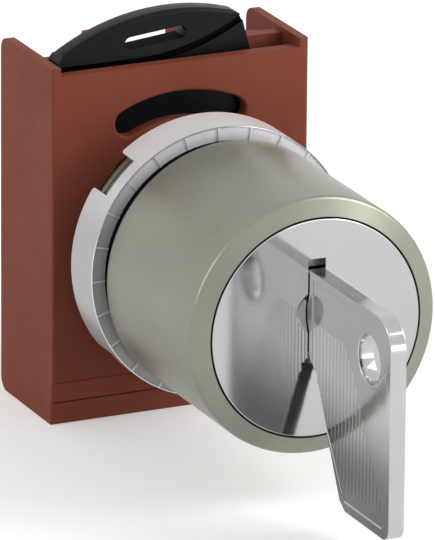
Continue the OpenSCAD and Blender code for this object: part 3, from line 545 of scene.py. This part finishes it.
front_edge = [(head_r - head_round + head_round * math.sin(a), head_front + head_round * (1 - math.cos(a)))
              for a in (math.radians(24 + 6.6 * i) for i in range(11))]
seal_groove = [(head_r, head_back), (seal_groove_r, head_back),
               (seal_groove_r, seal_back), (head_r, seal_back)]
fine_grooves = []
for y in fine_groove_places:
    fine_grooves += [(head_r, y - fine_groove), (head_r - fine_groove, y - fine_groove),
                     (head_r - fine_groove, y + fine_groove), (head_r, y + fine_groove)]
outside = [(head_r, 0), (gasket_groove_r, 0), (gasket_groove_r, gasket_groove), (neck_r, gasket_groove),
           (neck_r, neck_step_y), (neck_step_r, neck_step_y), (neck_step_r, neck_end)]
bore = [(neck_bore_r, neck_end), (neck_bore_r, snap_back), (snap_r, snap_back), (snap_r, snap_front),
        (neck_bore_r, snap_front), (neck_bore_r, shoulder_back), (spigot_r + fit, shoulder_back),
        (spigot_r + fit, shoulder_front), (barrel_r + fit, shoulder_front), (barrel_r + fit, barrel_y),
        (opening_r, barrel_y)]
shell = turned("head_shell_turned", [(opening_r, rim_front)] + front_edge + seal_groove + fine_grooves
               + outside + bore)
add_teeth(shell, "shell_tooth", neck_r, shell_tooth_r, shell_tooth_front, neck_end)
add(shell, block("turn_rib", (-turn_rib_half, 0, turn_rib_low),
                 (turn_rib_half, turn_rib_long, turn_rib_high)))
cut(shell, block("barrel_keyway", (-keyway_half_w, shoulder_front - over, keyway_deep),
                 (keyway_half_w, shoulder_back + over, keyway_shallow)))
soften(shell, 0.05, 2, 40)

satin_nickel, tree, shader, places = finish("satin_nickel", 0.7, 0.34)
tinted(tree, shader, grain(tree, places, 7, 4.0), (0.254, 0.254, 0.208), (0.284, 0.284, 0.234))
roughened(tree, shader, grain(tree, places, 0.5, 3.0), 0.30, 0.38)
relief(tree, shader, grain(tree, places, 0.09, 2.0), 0.002, 0.6)
groove_painted_shade, tree, shader, places = finish("groove_painted_shade", 0.0, 0.8)
tinted(tree, shader, grain(tree, places, 2, 3.0), (0.004, 0.004, 0.004), (0.008, 0.008, 0.008))
shader.inputs["Specular IOR Level"].default_value = 0.1
dress(shell, satin_nickel)
shell.data.materials.append(groove_painted_shade)
# Painted shade: the faces of the groove beside the ring, where shade falls, are coloured black.
for face in shell.data.polygons:
    place = face.center / MM
    from_axis = math.hypot(place.x, place.z)
    if head_back - 0.01 < place.y < seal_back and seal_groove_r - 0.25 < from_axis < head_r - 0.04:
        face.material_index = 1
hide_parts("head_shell")
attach(shell, "base")

# Bezel ring: polished metal pressed round the head. Its flat front has pockets between 24 ribs,
# and four notches are cut in its skirt. Painted light: the ribs are lighter as a painted highlight,
# and the skirt low down and the upper pockets are darker as painted shade.
ring_in, ring_out, ring_lip = 14.1, 15.05, 13.45
ring_front, lip_back, ring_edge, pocket_sink = -5.32, -4.9, 0.08, 0.12
rib_count, rib_half, rim_w = 24, 0.1, 0.04
notch_turn, notch_half, notch_depth, skirt_round = 47.0, 2.354, 3.35, 0.45
ring_pocket_r, pocket_floor = ring_out - ring_edge - rim_w, ring_front + pocket_sink

ring = turned("bezel_ring_turned", [(ring_in, 0), (ring_out, 0), (ring_out, ring_front + ring_edge),
                                    (ring_out - ring_edge, ring_front), (ring_pocket_r, ring_front),
                                    (ring_pocket_r, pocket_floor), (ring_lip, pocket_floor),
                                    (ring_lip, lip_back), (ring_in, lip_back)], 192)
rib_outline = [(ring_pocket_r + 0.02, ring_front), (ring_lip + 0.01, ring_front),
               (ring_lip + 0.01, lip_back - 0.1), (ring_pocket_r + 0.02, lip_back - 0.1)]


def upright(name, outline, low, high, angle):
    """Shape drawn in the (radius, y) plane, low to high across it, turned round the axis."""
    mesh = bpy.data.meshes.new(name)
    mesh.from_pydata([(r * MM, y * MM, low * MM) for r, y in outline], [], [list(range(len(outline)))])
    piece = bpy.data.objects.new(name, mesh)
    bpy.context.scene.collection.objects.link(piece)
    only(piece)
    bpy.ops.object.mode_set(mode="EDIT")
    bpy.ops.mesh.select_all(action="SELECT")
    bpy.ops.mesh.extrude_region_move(TRANSFORM_OT_translate={"value": (0, 0, (high - low) * MM)})
    bpy.ops.mesh.select_all(action="SELECT")
    bpy.ops.mesh.normals_make_consistent(inside=False)
    bpy.ops.object.mode_set(mode="OBJECT")
    piece.rotation_euler = (0, -math.radians(angle), 0)
    bpy.ops.object.transform_apply(rotation=True)
    return piece


for rib in range(rib_count):
    add(ring, upright("ring_rib", rib_outline, -rib_half, rib_half, 360 * (rib + 0.1) / rib_count))
notch_side = [(-skirt_round * (1 - math.sin(a)), notch_half + skirt_round * (1 - math.cos(a)))
              for a in (math.radians(15 * i) for i in range(1, 7))]
notch_outline = ([(-notch_depth, -notch_half), (-notch_depth, notch_half), (-skirt_round, notch_half)]
                 + notch_side + [(1, notch_half + skirt_round), (1, -notch_half - skirt_round)]
                 + [(y, -z) for y, z in reversed(notch_side)] + [(-skirt_round, -notch_half)])
for quarter in range(4):
    notch = prism("notch", notch_outline, "X", head_r - over, ring_out + over)
    notch.rotation_euler = (0, -math.radians(notch_turn + 90 * quarter), 0)
    only(notch)
    bpy.ops.object.transform_apply(rotation=True)
    cut(ring, notch)
tidy(ring)
soften(ring, 0.06, 2, 30)


def painted_shade_towards(tree, shader, places, z_dull, z_full, share):
    """Painted shade: takes the colour down to a share of itself from one height to another, in
    millimetres.
    """
    height = tree.nodes.new("ShaderNodeSeparateXYZ")
    tree.links.new(places, height.inputs[0])
    shade_share = tree.nodes.new("ShaderNodeMapRange")
    shade_share.interpolation_type = "SMOOTHSTEP"
    shade_share.inputs["From Min"].default_value = z_dull * MM
    shade_share.inputs["From Max"].default_value = z_full * MM
    shade_share.inputs["To Min"].default_value = share
    shade_share.inputs["To Max"].default_value = 1.0
    tree.links.new(height.outputs["Z"], shade_share.inputs["Value"])
    shaded_colour = tree.nodes.new("ShaderNodeVectorMath")
    shaded_colour.operation = "SCALE"
    colour = shader.inputs["Base Color"].links[0].from_socket
    tree.links.new(colour, shaded_colour.inputs[0])
    tree.links.new(shade_share.outputs[0], shaded_colour.inputs["Scale"])
    tree.links.new(shaded_colour.outputs[0], shader.inputs["Base Color"])


polished_ring, tree, shader, places = finish("polished_ring", 0.1, 0.3)
tinted(tree, shader, grain(tree, places, 5, 3.0), (0.79, 0.775, 0.775), (0.82, 0.805, 0.805))
# Painted shade: the skirt's colour is taken darker towards its lower part, so that its top reads lighter,
# as if lit from above.
painted_shade_towards(tree, shader, places, 3, 13, 0.58)
roughened(tree, shader, grain(tree, places, 5, 2.0), 0.24, 0.28)
# Painted highlight: the tops of the ribs get a lighter colour than the rest of the ring.
ring_rib_painted_highlight, tree, shader, places = finish("ring_rib_painted_highlight", 0.2, 0.3)
tinted(tree, shader, grain(tree, places, 5, 3.0), (0.84, 0.84, 0.84), (0.88, 0.88, 0.88))
roughened(tree, shader, grain(tree, places, 1.0, 3.0), 0.26, 0.34)
ring_front_polish, tree, shader, places = finish("ring_front_polish", 0.85, 0.16)
tinted(tree, shader, grain(tree, places, 5, 3.0), (0.74, 0.74, 0.76), (0.78, 0.78, 0.80))
# Painted shade: the pockets are taken darker towards the top of the ring, standing in for a darker
# reflection there.
painted_shade_towards(tree, shader, places, 9, 2, 0.38)
roughened(tree, shader, grain(tree, places, 1.0, 3.0), 0.12, 0.20)
dress(ring, polished_ring)
ring.data.materials.append(ring_front_polish)
ring.data.materials.append(ring_rib_painted_highlight)
for face in ring.data.polygons:
    place = face.center / MM
    if place.y < ring_front + ring_edge:
        within = math.hypot(place.x, place.z) < ring_pocket_r - 0.03
        face.material_index = 2 if within and place.y < pocket_floor - 0.005 else 1
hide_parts("bezel_ring")
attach(ring, "base")

# Face disc: polished plate on the front of the lock plug, with the keyway and a shallow
# round dimple at the key's back.
disc_r, disc_front, disc_back = 11.845, -28.97, -27.4
keyway_half, keyway_low, keyway_high = 1.0, -3.8, 7.6
dimple_r, dimple_depth, dimple_z = 2.3, 0.65, 1.75
disc_edge = 0.12

disc = round_bar("face_disc_plate", disc_r, disc_front, disc_back, steps=256)
bevel_where(disc, disc_edge, 3, lambda p: p.y < disc_front + 0.01)
dimple_ball_r = (dimple_r ** 2 + dimple_depth ** 2) / (2 * dimple_depth)
bpy.ops.mesh.primitive_uv_sphere_add(segments=128, ring_count=96, radius=dimple_ball_r * MM, location=(
    0, (disc_front + dimple_depth - dimple_ball_r) * MM, dimple_z * MM))
bpy.ops.object.transform_apply(location=True, rotation=True, scale=True)
cut(disc, bpy.context.object,
    block("keyway", (-keyway_half, disc_front - over, keyway_low),
          (keyway_half, disc_back + over, keyway_high)))
smooth(disc, 20)

mirror_steel, tree, shader, places = finish("mirror_steel", 1.0, 0.1)
tinted(tree, shader, grain(tree, places, 6, 2.0), (0.458, 0.458, 0.462), (0.474, 0.474, 0.478))
roughened(tree, shader, grain(tree, places, 3, 3.0), 0.095, 0.115)
dress(disc, mirror_steel)
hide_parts("face_disc")
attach(disc, "rotor")

# Key: stamped and milled from nickel-plated brass. A big bow with a ring hole and a sunk
# panel of fine ribs on each face, and a blade with six cuts and a side groove for each ward.
key_half = 0.9
bow_top, bow_bottom, bow_out = 6.5, -17.1, -48.5
bow_top_r, bow_foot_r = 3.2, 1.5
foot_y = -38.1
ring_hole_y, ring_hole_z, ring_hole_r = -43.45, 1.3, 2.6
foot_run, foot_rise = 1.3, 0.9
heel = [(disc_front - 1.7, -4.2), (disc_front - 0.5, -3.4), (disc_front, -3.4)]
blade_top, blade_bottom, blade_tip = 6.1, -2.6, -4.97
tip_top_y, tip_top_z, tip_foot_y, tip_foot_z = 1.5, 2.4, 2.6, 3.6
cut_depths = (1.1, 0.5, 1.4, 0.8, 1.6, 0.6)
first_cut_y, cut_pitch, cut_half = -23.6, 2.9, 0.55
ward_depth, ward_half, ward_left_z, ward_right_z = 0.45, 0.5, 3.4, 0.8
rim, hole_rim = 0.95, 0.3
panel_sink, line_w, line_depth = 0.14, 0.16, 0.06
panel_in_y, panel_in_z = disc_front - 0.75, -4
panel_corner_y, panel_corner_z = 0.85, 1.8
panel_foot_y, panel_heel_y, panel_heel_z = 0.4, 0.9, 1.7
rib_first, rib_last, key_rib_count = disc_front - 1.3, bow_out + 2.55, 20
rib_face, rib_root, rib_w = key_half - panel_sink + 0.05, key_half - panel_sink - 0.1, 0.3
rib_step_y, rib_stub_y, rib_high, rib_mid, rib_foot = -37.35, -39.45, 1.1, -1.4, -14.6
rib_fall, rib_fall_run = 13.2, 7.15
rib_heel_y, rib_rise, rib_rise_run = -37.2, 11.4, 7.48
key_side_edge = 0.1
through = 2
bow_outline = ([(disc_front, bow_top)]
               + arc(bow_out + bow_top_r, bow_top - bow_top_r, bow_top_r, 90, 180, 16)
               + arc(bow_out + bow_foot_r, bow_bottom + bow_foot_r, bow_foot_r, 180, 270, 10)
               + [(foot_y, bow_bottom), (foot_y + foot_run, bow_bottom + foot_rise)] + heel)
blade_outline = [(disc_front - over, blade_top), (blade_tip - tip_top_y, blade_top),
                 (blade_tip, blade_top - tip_top_z), (blade_tip, blade_bottom + tip_foot_z),
                 (blade_tip - tip_foot_y, blade_bottom), (disc_front - over, blade_bottom)]
key = prism("key_bow", bow_outline, "X", -key_half, key_half)
add(key, prism("key_blade", blade_outline, "X", -key_half, key_half))
hole_outline = arc(ring_hole_y, ring_hole_z, ring_hole_r, 0, 354, 59)
cut(key, prism("ring_hole", hole_outline, "X", -through, through))
for number, depth in enumerate(cut_depths):
    y = first_cut_y + number * cut_pitch
    wide = cut_half + cut_half * (depth + over)
    cut_outline = [(y - wide, blade_bottom - over), (y + wide, blade_bottom - over),
                   (y + cut_half, blade_bottom + depth), (y - cut_half, blade_bottom + depth)]
    cut(key, prism("blade_cut", cut_outline, "X", -through, through))
tidy(key)
bevel_where(key, key_side_edge, 3, lambda p: abs(abs(p.x) - key_half) < 0.01)
for low, high, z in ((-through, -key_half + ward_depth, ward_left_z),
                     (key_half - ward_depth, through, ward_right_z)):
    cut(key, block("ward_groove", (low, disc_front, z - ward_half), (high, 0, z + ward_half)))
raised_r = ring_hole_r + hole_rim
slant = raised_r * math.sqrt(0.5)
panel_top, panel_out = bow_top - rim, bow_out + rim
panel_outline = ([(panel_in_y, panel_top),
                  (ring_hole_y + 2 * slant + ring_hole_z - panel_top, panel_top)]
                 + arc(ring_hole_y, ring_hole_z, raised_r, 45, -135, 30)
                 + [(panel_out, ring_hole_z - 2 * slant + ring_hole_y - panel_out),
                    (panel_out, bow_bottom + panel_corner_z),
                    (panel_out + panel_corner_y, bow_bottom + rim),
                    (foot_y + panel_foot_y, bow_bottom + rim),
                    (foot_y + panel_heel_y, bow_bottom + panel_heel_z), (panel_in_y, panel_in_z)])


def step_in(panel, x, step):
    """Moves the middle of a tool's face at x by a step, so its border stays behind as a line."""
    only(panel)
    bpy.ops.object.mode_set(mode="EDIT")
    bpy.ops.mesh.select_mode(type="FACE")
    bpy.ops.mesh.select_all(action="DESELECT")
    for face in bmesh.from_edit_mesh(panel.data).faces:
        face.select_set(all(abs(v.co.x / MM - x) < 0.001 for v in face.verts))
    bmesh.update_edit_mesh(panel.data)
    bpy.ops.mesh.inset(thickness=line_w * MM)
    bpy.ops.transform.translate(value=(step * MM, 0, 0))
    bpy.ops.object.mode_set(mode="OBJECT")


for side in (-1, 1):
    line_x = side * (key_half - line_depth)
    panel = prism("panel_tool", panel_outline, "X", *sorted((line_x, through * side)))
    step_in(panel, line_x, side * (line_depth - panel_sink))
    cut(key, panel)
ribs = []
for number in range(key_rib_count):
    y = rib_first - (rib_first - rib_last) * number / (key_rib_count - 1)
    if y > rib_step_y:
        top = rib_high
    elif y > rib_stub_y:
        top = rib_high - (rib_high - rib_mid) * (rib_step_y - y) / (rib_step_y - rib_stub_y)
    else:
        top = rib_mid - rib_fall * (rib_stub_y - y) / rib_fall_run
    foot = rib_foot
    if y >= rib_heel_y:
        foot += rib_rise * (y - rib_heel_y) / rib_rise_run
    for low, high in ((-rib_face, -rib_root), (rib_root, rib_face)):
        ribs.append(block("key_rib", (low, y - rib_w / 2, foot), (high, y + rib_w / 2, top)))
only(ribs[0])
for rib in ribs:
    rib.select_set(True)
bpy.ops.object.join()
add(key, ribs[0])
tidy(key)
smooth(key)

nickel_key, tree, shader, places = finish("nickel_key", 1.0, 0.16)
tinted(tree, shader, grain(tree, places, 5, 3.0), (0.47, 0.47, 0.47), (0.51, 0.51, 0.51))
roughened(tree, shader, grain(tree, places, 1.2, 3.0), 0.10, 0.18)


def key_plating(name, dark, light):
    """Plating of the key's broad faces, with painted shade that darkens it towards the bow's lower end."""
    material, tree, shader, places = finish(name, 1.0, 0.14)
    tinted(tree, shader, grain(tree, places, 5, 3.0), dark, light)
    painted_shade_towards(tree, shader, places, -13, -2.5, 0.22)
    roughened(tree, shader, grain(tree, places, 1.2, 3.0), 0.10, 0.16)
    return material


# Painted light on the key: the broad faces use a lighter copy of the edges' plating, their ribs a lighter
# one again as a painted highlight, and the faces darken towards the bow's lower end as painted shade.
dress(key, nickel_key)
key.data.materials.append(key_plating("nickel_key_face", (0.64, 0.64, 0.64), (0.68, 0.68, 0.68)))
key.data.materials.append(key_plating("nickel_key_rib_painted_highlight", (0.82, 0.82, 0.82), (0.86, 0.86, 0.86)))
# Painted shade: the floor of the fine line round each panel and the narrow faces under the bow that look
# back and down towards the head are coloured near black.
painted_shade_dark, tree, shader, places = finish("key_painted_shade", 1.0, 0.35)
tinted(tree, shader, grain(tree, places, 2, 3.0), (0.03, 0.03, 0.03), (0.05, 0.05, 0.05))
key.data.materials.append(painted_shade_dark)
for face in key.data.polygons:
    place = face.center / MM
    if place.y > disc_front:
        continue
    if abs(face.normal.x) > 0.95:
        depth = key_half - abs(place.x)
        if abs(depth - line_depth) < 0.01:
            face.material_index = 3
        elif abs(abs(place.x) - rib_face) < 0.01:
            face.material_index = 2
        else:
            face.material_index = 1
    elif face.normal.y > 0.4 and face.normal.z < -0.2 and abs(place.x) < key_half - 0.15:
        face.material_index = 3
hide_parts("key")
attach(key, "key")

# Seals: the flat panel gasket, the O-ring between shell and bezel ring, and the lip seal
# round the face disc. Moulded black rubber, held by being pressed between their neighbours.
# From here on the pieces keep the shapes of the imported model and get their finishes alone.
rubber, tree, shader, places = finish("rubber", 0.0, 0.7)
tinted(tree, shader, grain(tree, places, 2, 3.0), (0.012, 0.012, 0.012), (0.02, 0.02, 0.02))
relief(tree, shader, grain(tree, places, 0.15, 2.0), 0.01, 0.6)
for name in ("panel_gasket", "ring_seal", "disc_seal"):
    dress(nodes[name], rubber)

# Lock barrel and ring nut: the barrel is turned brass and stands on the shell's inner
# shoulder, where the slotted steel nut holds it from behind.
brass, tree, shader, places = finish("brass", 1.0, 0.3)
tinted(tree, shader, grain(tree, places, 2, 3.0), (0.52, 0.40, 0.20), (0.60, 0.47, 0.25))
roughened(tree, shader, grain(tree, places, 0.4, 3.0), 0.24, 0.36)
steel, tree, shader, places = finish("steel", 1.0, 0.3)
tinted(tree, shader, grain(tree, places, 1, 3.0), (0.42, 0.42, 0.43), (0.50, 0.50, 0.51))
roughened(tree, shader, grain(tree, places, 0.4, 3.0), 0.22, 0.34)
dress(nodes["lock_barrel"], brass)
dress(nodes["barrel_nut"], steel)

# Lock plug: turned and broached nickel silver with the keyway and six wafer slots. It turns
# in the barrel and ends in the square tail that carries the cam.
nickel_silver, tree, shader, places = finish("nickel_silver", 1.0, 0.35)
tinted(tree, shader, grain(tree, places, 2, 3.0), (0.34, 0.33, 0.30), (0.42, 0.41, 0.38))
roughened(tree, shader, grain(tree, places, 0.4, 3.0), 0.28, 0.40)
dress(nodes["lock_plug"], nickel_silver)

# Wafers: six stamped brass plates in the plug's slots, each with a small steel coil spring
# that pushes it outwards.
wafer_count = 6
for number in range(1, wafer_count + 1):
    dress(nodes[f"wafer_{number}"], brass)
    dress(nodes[f"wafer_spring_{number}"], steel)

# Detent: a steel ball in the barrel's side bore, with its coil spring, for the two pockets
# in the plug.
for name in ("detent_ball", "detent_spring"):
    dress(nodes[name], steel)

# Switch cam and its clip: the cam is moulded pale plastic with two helical ramps, set on the
# plug's square tail and held there by a spring steel clip.
pale_plastic, tree, shader, places = finish("pale_plastic", 0.0, 0.4)
tinted(tree, shader, grain(tree, places, 3, 3.0), (0.66, 0.64, 0.57), (0.72, 0.70, 0.63))
relief(tree, shader, grain(tree, places, 0.15, 2.0), 0.006, 0.5)
dress(nodes["switch_cam"], pale_plastic)
dress(nodes["cam_clip"], steel)

# Push rods and their springs: two moulded rods that follow the cam's ramps through the
# guide. The steel coil springs stand on the guide and shorten as the rods go back.
for side in ("left", "right"):
    dress(nodes["plunger_" + side], pale_plastic)
    node = nodes["plunger_spring_" + side]
    spring = bpy.data.objects.new("push_spring_" + side, node.data.copy())
    bpy.context.scene.collection.objects.link(spring)
    tidy(spring)
    smooth(spring)
    dress(spring, steel)
    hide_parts(node.name)
    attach(spring, "base")
    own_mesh(spring)

# Push rod guide: cap of black moulded plastic that snaps into the end of the neck, with a
# bore for each push rod.
dress(nodes["plunger_guide"], lever_plastic)
